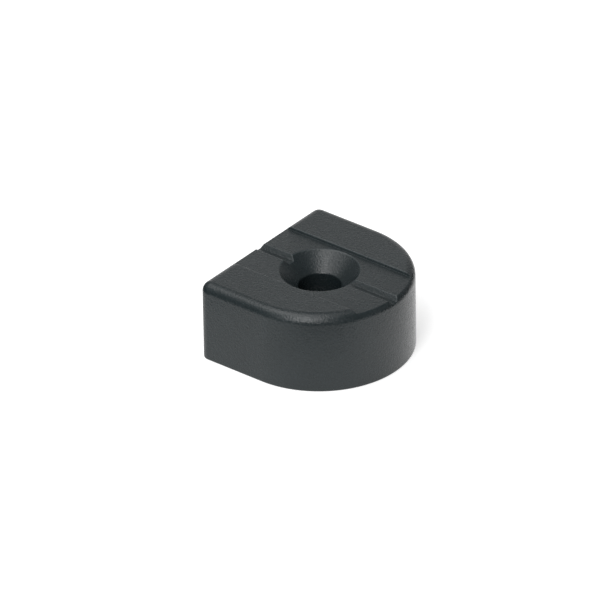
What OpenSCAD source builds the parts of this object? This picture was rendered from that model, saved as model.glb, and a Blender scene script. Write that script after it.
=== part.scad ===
// End cap for a flat bar.
// One moulding: a D-shaped block, rounded all round its top edge and down its back corners, with a
// socket for the bar in its flat back face, a countersunk screw hole at the centre of its round nose,
// and the bar's own relief carried on across its top.
// The underside is hollowed between a skirt, a boss round the screw hole, a rib along the middle and
// the wall at the inner end of the socket, so that no section is much thicker than the walls and the
// moulding doesn't sink as it cools.
// Origin: middle of the base. +X points to the nose, +Z up, and the cap is the same on both sides of Y = 0.

/* [Bar] */
// Width of the flat bar
bar_width = 20; // [18:0.5:26]
// Thickness of the flat bar
bar_thickness = 4; // [3:0.25:6]
// Room round the bar in its socket, on each side
bar_clearance = 0.2; // [0.1:0.05:0.4]

/* [Walls] */
// Wall beside the bar
side_wall = 2; // [1.6:0.1:3]
// Wall above the bar
roof_wall = 2; // [1.6:0.1:3]
// Height of the socket's floor above the base
floor_height = 4.7; // [3:0.1:8]
// Wall between the inner end of the socket and the screw hole, from the base to the roof
end_wall = 1.25; // [1:0.05:2]
// Width of the chamfer that leads the bar into the socket
lead_in = 0.4; // [0.2:0.1:0.8]

/* [Outline] */
// Length of the straight sides, from the back face to the round nose
side_length = 10; // [9:0.1:14]
// Radius of the rounded top edge and of the upright back corners
edge_radius = 1.3; // [0.6:0.1:1.5]

/* [Screw hole] */
// Diameter of the screw hole
screw_hole_d = 5.5; // [4.3:0.1:6]
// Diameter of the countersink at the top
countersink_d = 10.4; // [8:0.1:12]
// Included angle of the countersink, in degrees
countersink_angle = 96; // [82:1:100]

/* [Underside] */
// Wall left round the hollows
skirt_wall = 1.8; // [1.5:0.1:2.5]
// Wall of the boss round the screw hole
boss_wall = 1.6; // [1.2:0.1:2.2]
// Thickness of the rib along the middle of the underside
rib_thickness = 1.2; // [0.8:0.1:2]
// Plate left between the rear hollows and the bar
bar_plate = 2; // [1.4:0.1:2.4]
// Radius in the upright corners of the hollows
hollow_radius = 0.4; // [0.2:0.1:0.8]

/* [Top relief] */
// Width of the shallow band along the top
band_width = 11.2; // [6:0.2:13]
// Depth of the band below the top face
band_depth = 0.4; // [0.2:0.05:0.6]
// Width of the groove along the middle of the band
groove_width = 1.7; // [1:0.1:2.4]
// Depth of the groove below the band
groove_depth = 0.55; // [0.3:0.05:0.8]
// Width of the groove's flat floor, between its two sloping sides
groove_floor = 0.6; // [0.2:0.1:1]

/* [Hidden] */
// Steps in a full turn: of every curve, and of the small corners that the hollows are rounded with
curve_steps = 96;
corner_steps = 24;
$fn = curve_steps;

// Cuts run this far past the faces that they open
overrun = 1;

socket_width = bar_width + 2 * bar_clearance;
socket_height = bar_thickness + 2 * bar_clearance;
cap_width = socket_width + 2 * side_wall;
cap_height = floor_height + socket_height + roof_wall;

// The nose is half round, so its radius follows the width, and the screw hole stands at its centre
nose_radius = cap_width / 2;
cap_length = side_length + nose_radius;
back_x = -cap_length / 2;
screw_x = back_x + side_length;

// Inner end of the socket, from the screw's axis
socket_end = -screw_hole_d / 2 - end_wall;
socket_depth = side_length + socket_end;

band_z = cap_height - band_depth;
countersink_depth = (countersink_d - screw_hole_d) / 2 / tan(countersink_angle / 2);

// The nose hollows stop level with the bottom of the countersink, the rear ones a plate under the bar
nose_hollow_h = band_z - countersink_depth;
rear_hollow_h = floor_height - bar_plate;

// Centres of the back corners' curves
corner_x = back_x + edge_radius;
corner_y = nose_radius - edge_radius;

// Outer strip of the cap's section: square at the base and a quarter round at the top
module edge_strip() {
    square([edge_radius, cap_height - edge_radius]);
    translate([0, cap_height - edge_radius])
        intersection() {
            circle(edge_radius);
            square(edge_radius);
        }
}

// Half of the cap's section, from its middle to one side
module half_section() {
    square([corner_y, cap_height]);
    translate([corner_y, 0]) edge_strip();
}

// Straight part: the whole section, run from the back corners' centres to the centre of the nose
module straight_body() {
    translate([corner_x, 0, 0])
        rotate([90, 0, 90])
            linear_extrude(height = screw_x - corner_x) {
                half_section();
                mirror([1, 0]) half_section();
            }
}

// Nose: the half section turned through half a circle about the screw hole's axis
module nose_body() {
    translate([screw_x, 0, 0])
        rotate_extrude(angle = 180, start = -90)
            half_section();
}

// Back: the outer strip run across the cap, and turned through a quarter circle at each corner
module back_body() {
    translate([corner_x, -corner_y, 0]) {
        rotate([90, 0, 180])
            linear_extrude(height = 2 * corner_y)
                edge_strip();
        rotate_extrude(angle = 90, start = 180)
            edge_strip();
    }
    translate([corner_x, corner_y, 0])
        rotate_extrude(angle = 90, start = 90)
            edge_strip();
}

// Outline of one face of the lead-in: the socket's own size, opening out at 45 degrees to the back
module lead_in_outline(size) {
    polygon([
        [-overrun, -size / 2 - lead_in - overrun],
        [lead_in, -size / 2],
        [lead_in, size / 2],
        [-overrun, size / 2 + lead_in + overrun]
    ]);
}

// Pocket in the back face that the end of the bar is pushed into, with a chamfer round its mouth
module bar_socket() {
    mouth = socket_width + 2 * (lead_in + overrun);
    translate([back_x - overrun, -socket_width / 2, floor_height])
        cube([socket_depth + overrun, socket_width, socket_height]);
    translate([back_x, 0, floor_height + socket_height / 2])
        intersection() {
            translate([0, 0, -mouth / 2])
                linear_extrude(height = mouth) lead_in_outline(socket_width);
            translate([0, mouth / 2, 0])
                rotate([90, 0, 0])
                    linear_extrude(height = mouth) lead_in_outline(socket_height);
        }
}

// Straight hole for the screw and the cone for its head, which starts at the bottom of the band
module countersunk_hole() {
    translate([screw_x, 0, -overrun])
        cylinder(h = cap_height + 2 * overrun, d = screw_hole_d);
    translate([screw_x, 0, band_z - countersink_depth])
        cylinder(
            h = countersink_depth + overrun,
            d1 = screw_hole_d,
            d2 = countersink_d + 2 * overrun * tan(countersink_angle / 2)
        );
}

// Plan of the hollows about the screw's axis: the inside of the skirt, less boss, rib and end wall
module hollow_plan() {
    inner_radius = nose_radius - skirt_wall;
    inner_length = side_length - skirt_wall;
    offset(r = hollow_radius, $fn = corner_steps)
        offset(delta = -hollow_radius)
            difference() {
                intersection() {
                    union() {
                        translate([-inner_length, -inner_radius])
                            square([inner_length, 2 * inner_radius]);
                        circle(inner_radius, $fn = curve_steps);
                    }
                    translate([-inner_length, -inner_radius])
                        square([inner_length + inner_radius, 2 * inner_radius]);
                }
                circle(d = screw_hole_d + 2 * boss_wall, $fn = curve_steps);
                translate([-side_length, -rib_thickness / 2])
                    square([cap_length, rib_thickness]);
                translate([socket_end, -cap_width / 2])
                    square([end_wall, cap_width]);
            }
}

// The hollows whose plan lies between two distances along X from the screw's axis
module hollow_pair(from_x, to_x, height) {
    translate([screw_x, 0, -overrun])
        linear_extrude(height = height + overrun)
            intersection() {
                hollow_plan();
                translate([from_x, -cap_width / 2])
                    square([to_x - from_x, cap_width]);
            }
}

// Shallow band and groove that carry the bar's relief across the whole top
module top_relief() {
    translate([back_x - overrun, 0, 0])
        rotate([90, 0, 90])
            linear_extrude(height = cap_length + 2 * overrun) {
                translate([-band_width / 2, band_z])
                    square([band_width, band_depth + overrun]);
                polygon([
                    [-groove_width / 2, band_z],
                    [-groove_floor / 2, band_z - groove_depth],
                    [groove_floor / 2, band_z - groove_depth],
                    [groove_width / 2, band_z],
                    [0, cap_height]
                ]);
            }
}

module end_cap() {
    wall_middle = socket_end + end_wall / 2;
    color([0.2, 0.21, 0.215])
        difference() {
            union() {
                straight_body();
                nose_body();
                back_body();
            }
            bar_socket();
            countersunk_hole();
            top_relief();
            hollow_pair(wall_middle, nose_radius, nose_hollow_h);
            hollow_pair(-side_length, wall_middle, rear_hollow_h);
        }
}

end_cap();
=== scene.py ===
import math
import bpy
import bmesh
import numpy as np
from mathutils import Matrix, Vector
from mathutils.geometry import delaunay_2d_cdt


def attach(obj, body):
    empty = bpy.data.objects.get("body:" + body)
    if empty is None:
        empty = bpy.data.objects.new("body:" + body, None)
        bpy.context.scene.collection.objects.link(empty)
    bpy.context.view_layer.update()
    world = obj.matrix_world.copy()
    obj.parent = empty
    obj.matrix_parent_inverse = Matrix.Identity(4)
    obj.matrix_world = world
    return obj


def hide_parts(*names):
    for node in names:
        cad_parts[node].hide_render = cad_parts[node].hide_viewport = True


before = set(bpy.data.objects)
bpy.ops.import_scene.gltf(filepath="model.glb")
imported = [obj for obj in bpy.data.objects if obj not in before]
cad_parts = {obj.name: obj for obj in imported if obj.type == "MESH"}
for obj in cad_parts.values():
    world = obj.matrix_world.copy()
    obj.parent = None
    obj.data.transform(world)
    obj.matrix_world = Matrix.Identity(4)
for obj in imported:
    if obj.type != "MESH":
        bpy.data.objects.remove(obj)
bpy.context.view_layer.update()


# End cap
# One injection moulding in charcoal black plastic, screwed down through its countersunk hole. Every edge
# the mould leaves is slightly rounded. Lengths here are millimetres, with X = 0 on the hole's axis, which
# stands at SCREW_X in the frame.
SCREW_X = -1.1
HALF_WIDTH = 12.2
BACK = -10.0
TOP = 11.1
EDGE_R = 1.3
CORNER_X = BACK + EDGE_R
CORNER_Y = HALF_WIDTH - EDGE_R
EDGE_Z = TOP - EDGE_R

# A row of points this far beside a rounded edge keeps the flat face next to it flat in smooth shading
GUARD = 0.06


def arc(centre_u, centre_v, radius, start, stop, steps):
    """Points on a circle's arc: centre plus radius times (cos, sin) of equal angles, in degrees."""
    a = np.radians(np.linspace(start, stop, steps + 1))
    return np.c_[centre_u + radius * np.cos(a), centre_v + radius * np.sin(a)]


def foot(u, v, radius, turn, steps):
    """An arc from a level floor up into a slope of turn degrees, in place of their corner at (u, v): its
    centre lies the radius times the tangent of half the turn before the corner."""
    return arc(u - radius * math.tan(math.radians(turn / 2)), v + radius, radius, -90, turn - 90, steps)


def head(u, v, radius, turn, steps):
    """An arc from a slope of turn degrees onto the level above, in place of their corner at (u, v): its
    centre lies the radius times the tangent of half the turn past the corner."""
    return arc(u + radius * math.tan(math.radians(turn / 2)), v - radius, radius, 90 + turn, 90, steps)


# The top's section, from the middle to one side: groove, band and raised strip, with small radii
# between them, and lines beside the radii that keep the flat parts flat
GROOVE = 0.85
GROOVE_FLOOR = 0.42
GROOVE_FOOT_R = 0.1
GROOVE_HEAD_R = 0.16
STEP_FOOT = 5.56
STEP_HEAD = 5.64
STEP_FOOT_R = 0.05
STEP_HEAD_R = 0.18
BAND_START = 0.98
BAND_STOP = 5.46
STRIP_START = 5.83
BAND = TOP - 0.4
GROOVE_Z = BAND - 0.55
GROOVE_TURN = math.degrees(math.atan((BAND - GROOVE_Z) / (GROOVE - GROOVE_FLOOR)))
STEP_TURN = math.degrees(math.atan((TOP - BAND) / (STEP_HEAD - STEP_FOOT)))
relief_section = np.vstack([
    [[0, GROOVE_Z]],
    foot(GROOVE_FLOOR, GROOVE_Z, GROOVE_FOOT_R, GROOVE_TURN, 3),
    head(GROOVE, BAND, GROOVE_HEAD_R, GROOVE_TURN, 5),
    [[BAND_START, BAND], [BAND_STOP, BAND]],
    foot(STEP_FOOT, BAND, STEP_FOOT_R, STEP_TURN, 4),
    head(STEP_HEAD, TOP, STEP_HEAD_R, STEP_TURN, 6),
    [[STRIP_START, TOP]],
])
relief_lines = relief_section[:, 0]
groove_lines = relief_lines[relief_lines <= BAND_START]
step_lines = relief_lines[relief_lines >= BAND_STOP]


def relief(y):
    """Height of the grooved top at a distance y from the middle, read off its section."""
    return np.interp(np.abs(y), relief_section[:, 0], relief_section[:, 1])


# Screw hole and the cone for the screw's head, whose rim lies in the band
HOLE_R = 2.75
RIM_R = 5.2
CONE_TURN = math.radians(48)
CONE_RISE = 1 / math.tan(CONE_TURN)
HOLE_TOP = BAND - (RIM_R - HOLE_R) * CONE_RISE
TURN_R = 0.3
TURN_REACH = TURN_R * math.tan(CONE_TURN / 2)
CREASE = 0.12
NEAR_CONE = 6


def countersink(r):
    """Height of the countersink at radius r: a cone, turning into the hole round a small radius."""
    from_centre = HOLE_R + TURN_R - r
    turned = HOLE_TOP - TURN_REACH + np.sqrt(np.clip(TURN_R ** 2 - from_centre ** 2, 0, None))
    cone = HOLE_TOP + (r - HOLE_R) * CONE_RISE
    return np.where(r < HOLE_R + TURN_REACH * math.sin(CONE_TURN), turned, cone)


def soft_min(a, b, k):
    """The lower of two heights, less (k - |a - b|) squared over 4 k where they differ by less than k,
    which rounds the crease between them."""
    gap = np.clip(k - np.abs(a - b), 0, None)
    return np.minimum(a, b) - gap ** 2 / np.maximum(4 * k, 1e-9)


def past_edge(x, y):
    """How far a point lies past the line where the top starts to round off: its distance past the centre
    line of the quarter round, which turns about the screw's axis, and about each back corner's centre."""
    back = np.hypot(np.clip(CORNER_X - x, 0, None), np.clip(np.abs(y) - CORNER_Y, 0, None))
    return np.where(x > 0, np.clip(np.hypot(x, y) - CORNER_Y, 0, None), back)


def top_height(x, y):
    """Height of the top over a point of the plan: the lowest of relief, rounded outer edge and
    countersink. The crease between relief and edge fades out with the relief's depth."""
    cut = relief(y)
    edge = EDGE_Z + np.sqrt(np.clip(EDGE_R ** 2 - past_edge(x, y) ** 2, 0, None))
    skin = soft_min(cut, edge, CREASE * np.clip((TOP - cut) / (TOP - BAND), 0, 1))
    r = np.hypot(x, y)
    return np.where(r < NEAR_CONE, soft_min(skin, countersink(r), CREASE), skin)


verts = []
faces = []


def add_points(points):
    """Keeps a patch's points and returns the number of its first one."""
    first = sum(len(patch) for patch in verts)
    verts.append(points)
    return first


def add_grid(points, closed=False):
    """Joins rows and columns of points by four-sided faces, round to the first column where closed."""
    rows, cols = points.shape[:2]
    i = np.arange(rows * cols).reshape(rows, cols) + add_points(points.reshape(-1, 3))
    if closed:
        i = np.hstack([i, i[:, :1]])
    quads = np.stack([i[:-1, :-1], i[:-1, 1:], i[1:, 1:], i[1:, :-1]], -1)
    faces.extend(quads.reshape(-1, 4).tolist())


def inside(points, loop):
    """Which points lie in a loop: those whose ray along +u crosses it an odd number of times."""
    a, b = loop, np.roll(loop, -1, 0)
    u, v = points[:, 0, None], points[:, 1, None]
    rise = b[:, 1] - a[:, 1]
    crosses = (a[:, 1] > v) != (b[:, 1] > v)
    crossing = a[:, 0] + (v - a[:, 1]) * (b[:, 0] - a[:, 0]) / np.where(rise == 0, 1, rise)
    return (crosses & (u < crossing)).sum(1) % 2 == 1


def add_fill(outer, holes, lift, lines=()):
    """Fills the plane region between an outer loop and its holes with triangles that keep the given
    lines as edges. lift turns the region's (u, v) into points in space."""
    chains = [np.vstack([loop, loop[:1]]) for loop in [outer, *holes]] + list(lines)
    points = np.vstack(chains)
    chain_ends = np.cumsum([len(chain) for chain in chains])
    edges = np.c_[np.arange(len(points) - 1), np.arange(1, len(points))]
    edges = edges[~np.isin(edges[:, 1], chain_ends)]
    flat, _, triangles, *_ = delaunay_2d_cdt([Vector(p) for p in points], edges.tolist(), [], 0, 1e-7)
    flat = np.array([tuple(p) for p in flat])
    triangles = np.array(triangles)
    middle = flat[triangles].mean(1)
    keep = inside(middle, outer)
    for hole in holes:
        keep &= ~inside(middle, hole)
    faces.extend((triangles[keep] + add_points(lift(flat))).tolist())


def round_corner(start, tip, stop, steps):
    """A circle's arc from start to stop that leaves and arrives along the lines to the tip, as a rational
    curve: its middle weight is the cosine of half the turn."""
    into, away = tip - start, stop - tip
    cosine = np.dot(into, away) / np.linalg.norm(into) / np.linalg.norm(away)
    t = np.linspace(0, 1, steps + 1)[:, None]
    share = 2 * t * (1 - t) * math.sqrt((1 + cosine) / 2)
    return ((1 - t) ** 2 * start + share * tip + t ** 2 * stop) / ((1 - t) ** 2 + share + t ** 2)


def bend(points, corner, reach, steps=4):
    """Rounds one corner of an open profile, from reach before the corner to reach after it."""
    before, tip, after = (np.array(points[corner + k], float) for k in (-1, 0, 1))
    start = tip + (before - tip) / np.linalg.norm(before - tip) * reach
    stop = tip + (after - tip) / np.linalg.norm(after - tip) * reach
    return round_corner(start, tip, stop, steps)


# Countersink's rim, column by column: the groove's own lines front and back, equal angles between
RIM_ROWS = np.array([0.02, 0.045, 0.075, 0.11, 0.16])
RIM_STEPS = 62
rim_offsets = np.r_[-RIM_ROWS[::-1], 0, RIM_ROWS][:, None]
groove_y = np.r_[-groove_lines[:0:-1], groove_lines]
groove_radius = HOLE_R + (relief(groove_y) - HOLE_TOP) / CONE_RISE + rim_offsets
groove_x = np.sqrt(groove_radius ** 2 - groove_y ** 2)
groove_y = np.broadcast_to(groove_y, groove_x.shape)
side_radius = RIM_R + rim_offsets
side_start = np.arcsin(groove_lines[-1] / side_radius)
side_angle = side_start + (math.pi - 2 * side_start) * np.linspace(0, 1, RIM_STEPS)[1:-1]
side_x = side_radius * np.cos(side_angle)
side_y = side_radius * np.sin(side_angle)
rim_x = np.hstack([groove_x, side_x, -groove_x, -side_x])
rim_y = np.hstack([groove_y, side_y, -groove_y, -side_y])
add_grid(np.dstack([rim_x, rim_y, top_height(rim_x, rim_y)]), closed=True)

# Cone, the turn into the screw hole, and the hole down to its rounded edge at the base
HOLE_FOOT_R = 0.15
CONE_GUARD = 0.14
HOLE_GUARD_Z = 0.2
hole_profile = np.vstack([
    [[HOLE_R + CONE_GUARD, HOLE_TOP + CONE_GUARD * CONE_RISE]],
    arc(HOLE_R + TURN_R, HOLE_TOP - TURN_REACH, TURN_R, 180 - math.degrees(CONE_TURN), 180, 5),
    [[HOLE_R, HOLE_TOP - TURN_REACH - GUARD], [HOLE_R, HOLE_GUARD_Z]],
    arc(HOLE_R + HOLE_FOOT_R, HOLE_FOOT_R, HOLE_FOOT_R, 180, 270, 4),
])
angle = np.arctan2(rim_y[0], rim_x[0])
cone_r = np.vstack([np.hypot(rim_x[0], rim_y[0]), np.repeat(hole_profile[:, :1], len(angle), 1)])
cone_z = np.vstack([top_height(rim_x[0], rim_y[0]), np.repeat(hole_profile[:, 1:], len(angle), 1)])
add_grid(np.dstack([cone_r * np.cos(angle), cone_r * np.sin(angle), cone_z]), closed=True)
hole_mouth = (HOLE_R + HOLE_FOOT_R) * np.c_[np.cos(angle), np.sin(angle)]

# Rounded outer edge: rows follow the line where the relief runs out on it, columns go round the cap
EDGE_SHARES = np.array([0, 0.03, 0.07, 0.12, 0.19, 0.28, 0.38, 0.5, 0.62, 0.75, 0.88, 1])
EDGE_GUARDS = np.array([0.13, 0.09, 0.06, 0.03])
CORNER_GUARD = 0.15
NOSE_COLUMNS = 40
CORNER_COLUMNS = 11
between_lines = np.arange(1.2, 5.2, 0.27)
middle_y = np.r_[step_lines, groove_lines, between_lines]
middle_y = np.unique(np.round(np.r_[middle_y, -middle_y], 9))


def edge_rows(y):
    """How far past the edge line the rows of the rounded edge lie: four just inside the line where the
    relief runs out on the quarter round, then shares of the angle from there to the wall."""
    run_out = np.arcsin(np.clip((relief(y) - EDGE_Z) / EDGE_R, -1, 1))
    on_edge = EDGE_R * np.cos(run_out * (1 - EDGE_SHARES[:, None]))
    return np.vstack([on_edge[:1] - EDGE_GUARDS[:, None], on_edge])


middle_past = edge_rows(middle_y)
middle_x = np.sqrt((CORNER_Y + middle_past) ** 2 - middle_y ** 2)
past = edge_rows(np.array([HALF_WIDTH]))
nose_start = np.arcsin(step_lines[-1] / (CORNER_Y + past))
nose_angle = nose_start + (math.pi / 2 - nose_start) * np.linspace(0, 1, NOSE_COLUMNS)[1:]
straight_x = np.array([-0.3, -3, -6, CORNER_X + CORNER_GUARD])
corner_angle = np.radians(np.linspace(90, 180, CORNER_COLUMNS))
inset = np.clip(past, None, 0)
reach = np.clip(past, 0, None)
half_x = np.hstack([
    (CORNER_Y + past) * np.cos(nose_angle),
    np.repeat(straight_x[None], len(past), 0),
    CORNER_X - inset + reach * np.cos(corner_angle),
    CORNER_X - past,
])
half_y = np.hstack([
    (CORNER_Y + past) * np.sin(nose_angle),
    np.repeat(CORNER_Y + past, len(straight_x), 1),
    CORNER_Y + inset + reach * np.sin(corner_angle),
    np.full_like(past, CORNER_Y - CORNER_GUARD),
])
strip_y = np.array([9.4, 8, 6.8, 6.1])
back_y = np.r_[strip_y, middle_y[::-1], -strip_y[::-1]]
back_x = CORNER_X - edge_rows(back_y)
front_x = np.hstack([half_x[:, ::-1], middle_x, half_x])
front_y = np.hstack([-half_y[:, ::-1], np.broadcast_to(middle_y, middle_x.shape), half_y])
edge_x = np.hstack([front_x, back_x])
edge_y = np.hstack([front_y, np.broadcast_to(back_y, back_x.shape)])
edge_net = np.dstack([edge_x, edge_y, top_height(edge_x, edge_y)])
add_grid(edge_net, closed=True)

# Ground of the top between the rounded edge and the rim, with the relief's lines as edges. Its outer
# loop takes each point once, because columns meet in one point at the back corners.
SAME_POINT = 1e-6
outer_loop = edge_net[0, :, :2]
outer_loop = outer_loop[np.linalg.norm(outer_loop - np.roll(outer_loop, 1, 0), axis=1) > SAME_POINT]
rim_loop = np.c_[rim_x[-1], rim_y[-1]]
nose_end = np.interp(relief_lines, middle_y, middle_x[0])
back_end = np.interp(relief_lines, -back_y, back_x[0])
rim_end = groove_x[-1, len(groove_lines) - 1:]
ground_lines = []
for side in (-1, 1):
    for k, y in enumerate(relief_lines):
        spans = [(back_end[k], nose_end[k])]
        if y <= BAND_START:
            spans = [(back_end[k], -rim_end[k]), (rim_end[k], nose_end[k])]
        ground_lines += [np.array([[start, side * y], [stop, side * y]]) for start, stop in spans]
add_fill(outer_loop, [rim_loop], lambda p: np.c_[p, relief(p[:, 1])], ground_lines)

# Outer wall, from the rounded edge down to a small radius at the base, and the back's own base edge
BASE_R = 0.2
wall_profile = np.vstack([
    [[0, EDGE_Z], [0, EDGE_Z - GUARD], [0, BASE_R + GUARD]],
    arc(-BASE_R, BASE_R, BASE_R, 0, -90, 5),
])
wall_xy = np.c_[front_x[-1], front_y[-1]]
centre_x = np.clip(wall_xy[:, 0], CORNER_X, 0)
centre_y = np.where(wall_xy[:, 0] > 0, 0, np.clip(wall_xy[:, 1], -CORNER_Y, CORNER_Y))
wall_out = wall_xy - np.c_[centre_x, centre_y]
wall_out /= np.linalg.norm(wall_out, axis=1)[:, None]
wall_place = wall_xy + wall_out * wall_profile[:, None, :1]
wall = np.dstack([wall_place, np.repeat(wall_profile[:, 1:], len(wall_xy), 1)])
add_grid(wall)
add_grid(wall[2:, [-1, 0]])
back_edge = np.vstack([wall[0, -1:], edge_net[-1, len(wall_xy):], wall[0, :1]])
back_strip = np.stack([back_edge, back_edge - [0, 0, GUARD]])
add_grid(back_strip)

# Socket in the back face: a lead-in chamfer round its mouth, walls, and a closed inner end. Its profile
# runs in from the back face, and its second value is the distance outwards from the socket's walls.
SOCKET_DEPTH = 6.0
SOCKET_Z = 6.9
SOCKET_HALF = np.array([10.2, 2.2])
SOCKET_CORNER_R = 0.3
LEAD_IN = 0.4
LEAD_IN_REACH = 0.07
THROAT_REACH = 0.12
SOCKET_END_REACH = 0.2
sharp_profile = [[0, 2 * LEAD_IN], [0, LEAD_IN], [LEAD_IN, 0], [SOCKET_DEPTH, 0], [SOCKET_DEPTH, -1]]
socket_profile = np.vstack([
    bend(sharp_profile, 1, LEAD_IN_REACH),
    bend(sharp_profile, 2, THROAT_REACH),
    [[SOCKET_DEPTH - 1.5 * SOCKET_END_REACH, 0]],
    bend(sharp_profile, 3, SOCKET_END_REACH),
])
socket_angle = np.radians(np.linspace(0, 90, 5) + np.array([[0], [90], [180], [270]])).ravel()
socket_normal = np.c_[np.cos(socket_angle), np.sin(socket_angle)]
socket_side = np.repeat([[1, 1], [-1, 1], [-1, -1], [1, -1]], 5, axis=0)
socket = socket_side * (SOCKET_HALF - SOCKET_CORNER_R) + SOCKET_CORNER_R * socket_normal
socket_yz = socket + socket_normal * socket_profile[:, 1, None, None] + [0, SOCKET_Z]
socket_x = np.repeat(BACK + socket_profile[:, :1], len(socket), 1)
socket_net = np.dstack([socket_x, socket_yz])
add_grid(socket_net, closed=True)
add_fill(socket_net[-1, :, 1:], [], lambda p: np.c_[np.full(len(p), BACK + SOCKET_DEPTH), p])

# Back face, between the wall and the mouth of the socket
back_loop = np.vstack([back_strip[1, :, 1:], wall[2, 0, 1:], wall[2, -1, 1:]])
add_fill(back_loop, [socket_net[0, :, 1:]], lambda p: np.c_[np.full(len(p), BACK), p])

# Underside: two pairs of hollows between the skirt, the boss round the screw hole, the middle rib and
# the wall behind the socket. Each outline is drawn for +Y, and the other side is its mirror image.
SKIRT = 10.4
BOSS = 4.35
RIB = 0.6
WALL_BACK = BACK + SOCKET_DEPTH
WALL_FRONT = WALL_BACK + 1.25
SKIRT_BACK = -8.2
REAR_HOLLOW_Z = 2.7
HOLLOW_R = 0.4
HOLLOW_MOUTH_REACH = 0.12
HOLLOW_ROOF_REACH = 0.25
MOUTH_GUARD_Z = 0.2
ROOF_GUARD = 0.3


def round_outline(sides, radius):
    """A closed outline from its sides, each a run of points from corner to corner, with every corner
    rounded: the sides stop short of it by the radius times the tangent of half the turn."""
    into = np.array([side[-1] - side[-2] for side in sides])
    away = np.roll(np.array([side[1] - side[0] for side in sides]), -1, 0)
    cosine = (into * away).sum(1) / np.linalg.norm(into, axis=1) / np.linalg.norm(away, axis=1)
    short = radius * np.tan(np.arccos(np.clip(cosine, -1, 1)) / 2)
    runs = []
    for k, side in enumerate(sides):
        length = np.r_[0, np.cumsum(np.linalg.norm(np.diff(side, axis=0), axis=1))]
        at = np.linspace(short[k - 1], length[-1] - short[k], len(side))
        runs.append(np.c_[np.interp(at, length, side[:, 0]), np.interp(at, length, side[:, 1])])
    outline = []
    for k, run in enumerate(runs):
        next_run = runs[(k + 1) % len(runs)]
        outline += [run, round_corner(run[-1], sides[k][-1], next_run[0], 6)[1:-1]]
    return np.vstack(outline)


boss_at_rib = math.sqrt(BOSS ** 2 - RIB ** 2)
skirt_at_rib = math.sqrt(SKIRT ** 2 - RIB ** 2)
boss_rib_angle = math.degrees(math.asin(RIB / BOSS))
skirt_rib_angle = math.degrees(math.asin(RIB / SKIRT))
nose_hollow = round_outline([
    np.array([[boss_at_rib, RIB], [skirt_at_rib, RIB]]),
    np.vstack([arc(0, 0, SKIRT, skirt_rib_angle, 90, 30), [[WALL_FRONT, SKIRT]]]),
    np.array([[WALL_FRONT, SKIRT], [WALL_FRONT, math.sqrt(BOSS ** 2 - WALL_FRONT ** 2)]]),
    arc(0, 0, BOSS, math.degrees(math.acos(WALL_FRONT / BOSS)), boss_rib_angle, 24),
], HOLLOW_R)
rear_hollow = round_outline([
    np.array([[SKIRT_BACK, RIB], [-boss_at_rib, RIB]]),
    arc(0, 0, BOSS, 180 - boss_rib_angle, math.degrees(math.acos(WALL_BACK / BOSS)), 4),
    np.array([[WALL_BACK, math.sqrt(BOSS ** 2 - WALL_BACK ** 2)], [WALL_BACK, SKIRT]]),
    np.array([[WALL_BACK, SKIRT], [SKIRT_BACK, SKIRT]]),
    np.array([[SKIRT_BACK, SKIRT], [SKIRT_BACK, RIB]]),
], HOLLOW_R)
mouths = [hole_mouth]
for outline, height in ((nose_hollow, HOLE_TOP), (rear_hollow, REAR_HOLLOW_Z)):
    sharp_profile = [[1, 0], [0, 0], [0, height], [-1, height]]
    profile = np.vstack([
        bend(sharp_profile, 1, HOLLOW_MOUTH_REACH),
        [[0, MOUTH_GUARD_Z], [0, height - ROOF_GUARD]],
        bend(sharp_profile, 2, HOLLOW_ROOF_REACH),
    ])
    tangent = np.roll(outline, -1, 0) - np.roll(outline, 1, 0)
    out = np.c_[tangent[:, 1], -tangent[:, 0]] / np.linalg.norm(tangent, axis=1)[:, None]
    for side in (1, -1):
        place = (outline + out * profile[:, None, :1]) * [1, side]
        net = np.dstack([place, np.repeat(profile[:, 1:], len(outline), 1)])
        add_grid(net, closed=True)
        add_fill(net[-1, :, :2], [], lambda p: np.c_[p, np.full(len(p), height)])
        mouths.append(net[0, :, :2])
add_fill(wall[-1, :, :2], mouths, lambda p: np.c_[p, np.zeros(len(p))])

# The patches share their border points, which are welded here into one closed skin, in metres
WELD = 2e-7
SLIVER = 1e-7
cap_mesh = bpy.data.meshes.new("end_cap_moulding")
in_frame = (np.vstack(verts) + [SCREW_X, 0, 0]) * 0.001
cap_mesh.from_pydata(in_frame.tolist(), [], faces)
weld = bmesh.new()
weld.from_mesh(cap_mesh)
bmesh.ops.remove_doubles(weld, verts=weld.verts, dist=WELD)
bmesh.ops.dissolve_degenerate(weld, edges=weld.edges, dist=SLIVER)
bmesh.ops.recalc_face_normals(weld, faces=weld.faces)
weld.to_mesh(cap_mesh)
weld.free()
cap_mesh.shade_smooth()

# Wear and painted highlight, from none to one: along the upper edges of groove and steps, and round the
# countersink's rim, where the paler colour stands for wear and also for the light these rounded edges
# catch. It fades out within 0.2 mm, and the skin under the top, such as the base, has none.
WEAR_AND_HIGHLIGHT_Y = [
    GROOVE - 0.06, GROOVE + 0.01, GROOVE + 0.08, BAND_START,
    STEP_HEAD - 0.04, STEP_HEAD + 0.02, STEP_HEAD + 0.16, STRIP_START,
]
LINE_WEAR_AND_HIGHLIGHT = [0, 1, 0.6, 0, 0, 1, 0.5, 0]
FROM_RIM = [0, 0.06, 0.11]
RIM_WEAR_AND_HIGHLIGHT = [1, 0.5, 0]
RIM_LOW = HOLE_TOP + 1
ON_SKIN = 0.02
skin = np.empty(3 * len(cap_mesh.vertices))
cap_mesh.vertices.foreach_get("co", skin)
skin_x, skin_y, skin_z = (skin.reshape(-1, 3) * 1000 - [SCREW_X, 0, 0]).T
line_wear_and_highlight = np.interp(np.abs(skin_y), WEAR_AND_HIGHLIGHT_Y, LINE_WEAR_AND_HIGHLIGHT) * (np.abs(skin_z - relief(skin_y)) < ON_SKIN)
from_rim = np.hypot(skin_x, skin_y) - HOLE_R - (relief(skin_y) - HOLE_TOP) / CONE_RISE
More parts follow.
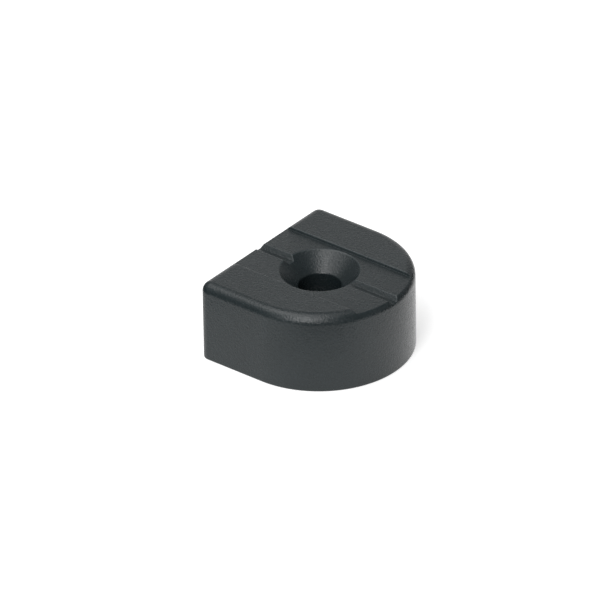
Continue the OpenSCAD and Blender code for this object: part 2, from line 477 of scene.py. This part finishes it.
rim_wear_and_highlight = np.interp(np.abs(from_rim), FROM_RIM, RIM_WEAR_AND_HIGHLIGHT) * (skin_z > RIM_LOW)
wear_and_highlight = np.maximum(line_wear_and_highlight, rim_wear_and_highlight).astype(np.float32)
cap_mesh.attributes.new("wear_and_highlight", "FLOAT", "POINT").data.foreach_set("value", wear_and_highlight)

cap = bpy.data.objects.new("end_cap_moulding", cap_mesh)
bpy.context.scene.collection.objects.link(cap)
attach(cap, "root")
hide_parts("end_cap")

# Charcoal plastic off a spark-eroded mould: a fine grain in the skin that scatters the light, faint
# clouding where the melt flowed, and sharp edges painted a little paler, for wear and as a painted
# highlight of the light they catch. Noise scales are per metre.
CHARCOAL = (0.0138, 0.0208, 0.0230)
CLOUDED_CHARCOAL = (0.0172, 0.0252, 0.0278)
# Paler charcoal for the upper edges: wear together with a painted highlight
WORN_AND_HIGHLIT_CHARCOAL = (0.042, 0.053, 0.056, 1)
CLOUD_SCALE = 160
SPECK_SCALE = 5200
SHEEN_SCALE = 900
MOTTLE_SCALE = 3400
MOTTLE_DEPTH = 0.00003
GRAIN_SCALE = 6200
GRAIN_DEPTH = 0.000044
plastic = bpy.data.materials.new("charcoal_plastic")
plastic.use_nodes = True
nodes = plastic.node_tree.nodes
links = plastic.node_tree.links
shader = nodes["Principled BSDF"]
shader.inputs["IOR"].default_value = 1.54
place_on_cap = nodes.new("ShaderNodeTexCoord")


def add_noise(scale, detail, rough):
    """A noise over the moulding's own coordinates."""
    noise = nodes.new("ShaderNodeTexNoise")
    noise.inputs["Scale"].default_value = scale
    noise.inputs["Detail"].default_value = detail
    noise.inputs["Roughness"].default_value = rough
    links.new(place_on_cap.outputs["Object"], noise.inputs["Vector"])
    return noise.outputs["Fac"]


def add_ramp(value, stops):
    """A colour read off a ramp at the value, from two pairs of position and colour."""
    ramp = nodes.new("ShaderNodeValToRGB")
    for element, (at, colour) in zip(ramp.color_ramp.elements, stops):
        element.position = at
        element.color = (*colour, 1)
    links.new(value, ramp.inputs["Fac"])
    return ramp.outputs["Color"]


def grey(level):
    """A colour with the same level three times."""
    return (level, level, level)


def add_bump(height, depth):
    """A bump as deep as given where the height goes from 0 to 1."""
    bump = nodes.new("ShaderNodeBump")
    bump.inputs["Strength"].default_value = 1
    bump.inputs["Distance"].default_value = depth
    links.new(height, bump.inputs["Height"])
    return bump


clouds = add_ramp(add_noise(CLOUD_SCALE, 3, 0.55), [(0.3, CHARCOAL), (0.7, CLOUDED_CHARCOAL)])
specks = add_ramp(add_noise(SPECK_SCALE, 2, 0.6), [(0.35, grey(0.86)), (0.65, grey(1.14))])
specked = nodes.new("ShaderNodeMix")
specked.data_type = "RGBA"
specked.blend_type = "MULTIPLY"
specked.inputs["Factor"].default_value = 1
links.new(clouds, specked.inputs["A"])
links.new(specks, specked.inputs["B"])

# The edges' paler colour, a painted highlight as well as wear, mixed in where the attribute says
wear_and_highlight_on_cap = nodes.new("ShaderNodeAttribute")
wear_and_highlight_on_cap.attribute_name = "wear_and_highlight"
worn_and_highlit = nodes.new("ShaderNodeMix")
worn_and_highlit.data_type = "RGBA"
worn_and_highlit.inputs["B"].default_value = WORN_AND_HIGHLIT_CHARCOAL
links.new(wear_and_highlight_on_cap.outputs["Fac"], worn_and_highlit.inputs["Factor"])
links.new(specked.outputs["Result"], worn_and_highlit.inputs["A"])
links.new(worn_and_highlit.outputs["Result"], shader.inputs["Base Color"])

sheen = add_ramp(add_noise(SHEEN_SCALE, 3, 0.6), [(0.3, grey(0.22)), (0.7, grey(0.30))])
links.new(sheen, shader.inputs["Roughness"])
mottle = add_bump(add_noise(MOTTLE_SCALE, 1, 0.5), MOTTLE_DEPTH)
grain = add_bump(add_noise(GRAIN_SCALE, 1, 0.5), GRAIN_DEPTH)
links.new(mottle.outputs["Normal"], grain.inputs["Normal"])
links.new(grain.outputs["Normal"], shader.inputs["Normal"])
cap_mesh.materials.append(plastic)


# Camera
# The photograph's view: from the front left of the cap's nose, 31 degrees above it, with a long lens.
# Its place is given in cap widths, and its lens by the pixels that one cap width takes up.
AZIMUTH = math.radians(38.88)
ELEVATION = math.radians(31.39)
ROLL = math.radians(-0.98)
CAP_WIDTH = 0.0244
CAP_WIDTH_PX = 191.58
FRAME_PX = 600
DISTANCE = 60
SENSOR = 36
CAP_MIDDLE = Vector((-0.00012, 0, 0.00488))
AIM_LEFT = 0.1369
AIM_UP = 0.0592
towards = Vector((
    math.sin(AZIMUTH) * math.cos(ELEVATION),
    -math.cos(AZIMUTH) * math.cos(ELEVATION),
    math.sin(ELEVATION),
))
level = Vector((math.cos(AZIMUTH), math.sin(AZIMUTH), 0))
away = Vector((-math.sin(AZIMUTH), math.cos(AZIMUTH), 0))
above = towards.cross(level)
right = math.cos(ROLL) * level + math.sin(ROLL) * above
up = -math.sin(ROLL) * level + math.cos(ROLL) * above
aim = CAP_MIDDLE - CAP_WIDTH * (AIM_LEFT * right - AIM_UP * up)
camera_data = bpy.data.cameras.new("camera")
camera_data.sensor_width = SENSOR
camera_data.lens = SENSOR * CAP_WIDTH_PX * DISTANCE / FRAME_PX
camera_data.clip_end = 20
camera = bpy.data.objects.new("camera", camera_data)
bpy.context.scene.collection.objects.link(camera)
camera_turn = Matrix((right, up, towards)).transposed().to_4x4()
camera_turn.translation = aim + CAP_WIDTH * DISTANCE * towards
camera.matrix_world = camera_turn
bpy.context.scene.camera = camera


# Floor
# White paper under the cap, a hair below it so that the two don't share a plane. The camera sees it
# white, with the cap's soft shadow. Mirrored in the cap, it is brighter to the right and ends 3 to 4 cm
# in front and to either side, so that the cap's lower skin mirrors the dark room past it.
FLOOR_HALF = 1.5
FLOOR_Z = -0.00001
PAPER = (0.8, 0.8, 0.8, 1)
PAPER_LIFT = 0.6
LEFT_GLOW = 0.86
RIGHT_GLOW = 1.1
FRONT_END = (-0.033, -0.029)
SIDE_END = (-0.039, -0.034)
floor_mesh = bpy.data.meshes.new("floor")
floor_corners = [(u * FLOOR_HALF, v * FLOOR_HALF, FLOOR_Z) for u, v in ((-1, -1), (1, -1), (1, 1), (-1, 1))]
floor_mesh.from_pydata(floor_corners, [], [(0, 1, 2, 3)])
floor = bpy.data.objects.new("floor", floor_mesh)
bpy.context.scene.collection.objects.link(floor)
paper = bpy.data.materials.new("pale_floor")
paper.use_nodes = True
nodes = paper.node_tree.nodes
links = paper.node_tree.links
nodes.remove(nodes["Principled BSDF"])
matt = nodes.new("ShaderNodeBsdfDiffuse")
matt.inputs["Color"].default_value = PAPER
lift = nodes.new("ShaderNodeEmission")
lift.inputs["Strength"].default_value = PAPER_LIFT
lifted = nodes.new("ShaderNodeAddShader")
links.new(matt.outputs["BSDF"], lifted.inputs[0])
links.new(lift.outputs["Emission"], lifted.inputs[1])
floor_rays = nodes.new("ShaderNodeLightPath")
to_camera = nodes.new("ShaderNodeMixShader")
links.new(floor_rays.outputs["Is Camera Ray"], to_camera.inputs["Fac"])
links.new(matt.outputs["BSDF"], to_camera.inputs[1])
links.new(lifted.outputs["Shader"], to_camera.inputs[2])
place_on_floor = nodes.new("ShaderNodeTexCoord")


def along(vector, start, stop, low, high):
    """A value over the floor that goes smoothly from low to high between two distances along a vector."""
    distance = nodes.new("ShaderNodeVectorMath")
    distance.operation = "DOT_PRODUCT"
    distance.inputs[1].default_value = vector
    links.new(place_on_floor.outputs["Object"], distance.inputs[0])
    step = nodes.new("ShaderNodeMapRange")
    step.interpolation_type = "SMOOTHSTEP"
    for name, value in (("From Min", start), ("From Max", stop), ("To Min", low), ("To Max", high)):
        step.inputs[name].default_value = value
    links.new(distance.outputs["Value"], step.inputs["Value"])
    return step.outputs["Result"]


glow = along(level * 0.94 + away * 0.35, -0.006, 0.013, LEFT_GLOW, RIGHT_GLOW)
front_end = along(away, *FRONT_END, 0, 1)
left_end = along(level, *SIDE_END, 0, 1)
right_end = along(-level, *SIDE_END, 0, 1)
for paper_end in (front_end, left_end, right_end):
    product = nodes.new("ShaderNodeMath")
    product.operation = "MULTIPLY"
    links.new(glow, product.inputs[0])
    links.new(paper_end, product.inputs[1])
    glow = product.outputs["Value"]
mirrored = nodes.new("ShaderNodeEmission")
links.new(glow, mirrored.inputs["Strength"])
to_gloss = nodes.new("ShaderNodeMixShader")
links.new(floor_rays.outputs["Is Glossy Ray"], to_gloss.inputs["Fac"])
links.new(to_camera.outputs["Shader"], to_gloss.inputs[1])
links.new(mirrored.outputs["Emission"], to_gloss.inputs[2])
links.new(to_gloss.outputs["Shader"], nodes["Material Output"].inputs["Surface"])
floor_mesh.materials.append(paper)


# Light
# A dim room with soft patches of light on its walls and ceiling, and one upright strip lamp beside the
# camera. The camera sees plain white.
STRIP_TURN = 160
STRIP_HEIGHT = 38
STRIP_DISTANCE = 0.6
STRIP_WIDTH = 0.18
STRIP_TALL = 0.6
STRIP_RADIANCE = 4.9


def light_direction(turn, height):
    """The unit vector towards a light: turn is its bearing from straight away from the camera,
    anticlockwise, and height its elevation, both in degrees."""
    bearing = math.radians(90 + turn) + AZIMUTH
    rise = math.radians(height)
    return Vector((math.cos(bearing) * math.cos(rise), math.sin(bearing) * math.cos(rise), math.sin(rise)))


strip_data = bpy.data.lights.new("front_strip", "AREA")
strip_data.shape = "RECTANGLE"
strip_data.size = STRIP_WIDTH
strip_data.size_y = STRIP_TALL
strip_data.energy = STRIP_RADIANCE * math.pi * STRIP_WIDTH * STRIP_TALL
strip = bpy.data.objects.new("front_strip", strip_data)
strip.visible_camera = False
to_strip = light_direction(STRIP_TURN, STRIP_HEIGHT)
strip_turn = to_strip.to_track_quat("Z", "Y").to_matrix().to_4x4()
strip.matrix_world = Matrix.Translation(to_strip * STRIP_DISTANCE) @ strip_turn
bpy.context.scene.collection.objects.link(strip)

# The room is a sum of round patches, each its brightness times e to the power of its sharpness times
# (cosine of the angle from its centre - 1), over a faint even level
ROOM_LEVEL = 0.04
world = bpy.data.worlds.new("studio")
bpy.context.scene.world = world
world.use_nodes = True
nodes = world.node_tree.nodes
links = world.node_tree.links
direction = nodes.new("ShaderNodeTexCoord")
room = None
for turn, height, sharpness, brightness in (
    (90, 66, 12, 2.45),
    (0, 90, 12, 0.6),
    (0, 28, 26, 0.56),
    (180, 66, 12, 0.2),
    (144, 8, 12, 0.82),
    (180, 8, 12, 0.87),
    (252, 8, 12, 0.33),
    (288, 8, 12, 0.14),
    (324, 8, 12, 0.36),
    (0, 0, 30, 1),
    (36, 8, 12, 0.2),
):
    facing = nodes.new("ShaderNodeVectorMath")
    facing.operation = "DOT_PRODUCT"
    facing.inputs[1].default_value = light_direction(turn, height)
    links.new(direction.outputs["Generated"], facing.inputs[0])
    fall = nodes.new("ShaderNodeMath")
    fall.operation = "MULTIPLY_ADD"
    fall.inputs[1].default_value = sharpness
    fall.inputs[2].default_value = -sharpness
    links.new(facing.outputs["Value"], fall.inputs[0])
    patch = nodes.new("ShaderNodeMath")
    patch.operation = "EXPONENT"
    links.new(fall.outputs["Value"], patch.inputs[0])
    added = nodes.new("ShaderNodeMath")
    added.operation = "MULTIPLY_ADD"
    added.inputs[1].default_value = brightness
    added.inputs[2].default_value = ROOM_LEVEL
    links.new(patch.outputs["Value"], added.inputs[0])
    if room:
        links.new(room, added.inputs[2])
    room = added.outputs["Value"]
studio = nodes["Background"]
links.new(room, studio.inputs["Color"])
white = nodes.new("ShaderNodeBackground")
white.inputs["Color"].default_value = (1, 1, 1, 1)
world_rays = nodes.new("ShaderNodeLightPath")
seen = nodes.new("ShaderNodeMixShader")
links.new(world_rays.outputs["Is Camera Ray"], seen.inputs["Fac"])
links.new(studio.outputs["Background"], seen.inputs[1])
links.new(white.outputs["Background"], seen.inputs[2])
links.new(seen.outputs["Shader"], nodes["World Output"].inputs["Surface"])
bpy.context.scene.view_settings.view_transform = "Standard"
